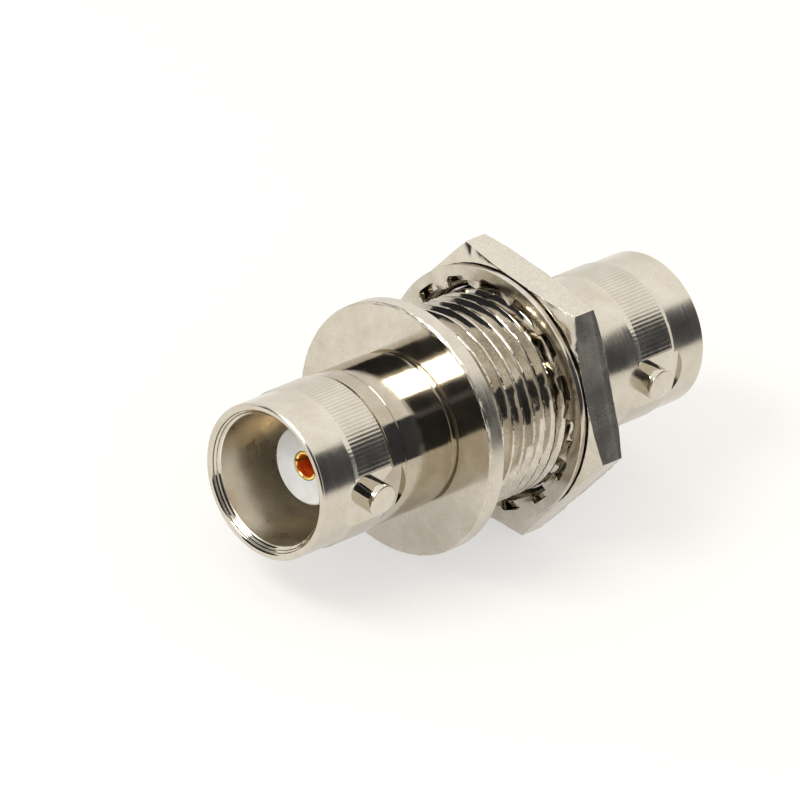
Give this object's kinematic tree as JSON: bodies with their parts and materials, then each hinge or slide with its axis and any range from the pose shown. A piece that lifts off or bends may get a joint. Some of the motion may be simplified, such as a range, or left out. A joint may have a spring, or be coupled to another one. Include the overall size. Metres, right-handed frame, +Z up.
{
  "type": "bnc connector",
  "caption": "Bulkhead coaxial adapter with a bayonet jack at each end, a round flange, a threaded barrel, a lock washer and a hex nut.",
  "frame": {"origin": "on the connector's axis, in the plane of the flange face that seats on the panel", "axes": "+X along the axis from the flange towards the nut, +Z up, square to the nut face that the part rests on"},
  "size_m": [0.0331, 0.0184, 0.0159],
  "materials": {
    "body_nickel": "nickel-plated brass, turned, half bright",
    "jack_nickel": "nickel-plated brass, turned, bright",
    "washer_nickel": "nickel-plated spring bronze, stamped",
    "nut_nickel": "nickel-plated brass, satin faces",
    "insulator": "white PTFE, machined, slightly waxy",
    "gold_contact": "gold-plated phosphor bronze"
  },
  "bodies": {
    "adapter": {"main_body": "body_nickel", "front_barrel": "jack_nickel", "front_insulator": "insulator", "rear_insulator": "insulator", "centre_contact": "gold_contact"},
    "washer": {"lock_washer": "washer_nickel"},
    "nut": {"hex_nut": "nut_nickel"}
  },
  "joints": [
    {"name": "washer_slide", "type": "slide", "parent": "adapter", "child": "washer", "axis": [1, 0, 0], "range_m": [-0.0062, 0.0018]},
    {"name": "nut_turn", "type": "hinge", "parent": "washer", "child": "nut", "pos_m": [0.0082, 0, 0], "axis": [1, 0, 0], "range_deg": [-2430, 630]}
  ],
  "couplings": [
    {"joint": "washer_slide", "follows": "nut_turn", "m_per_rad": 0.00014438}
  ]
}
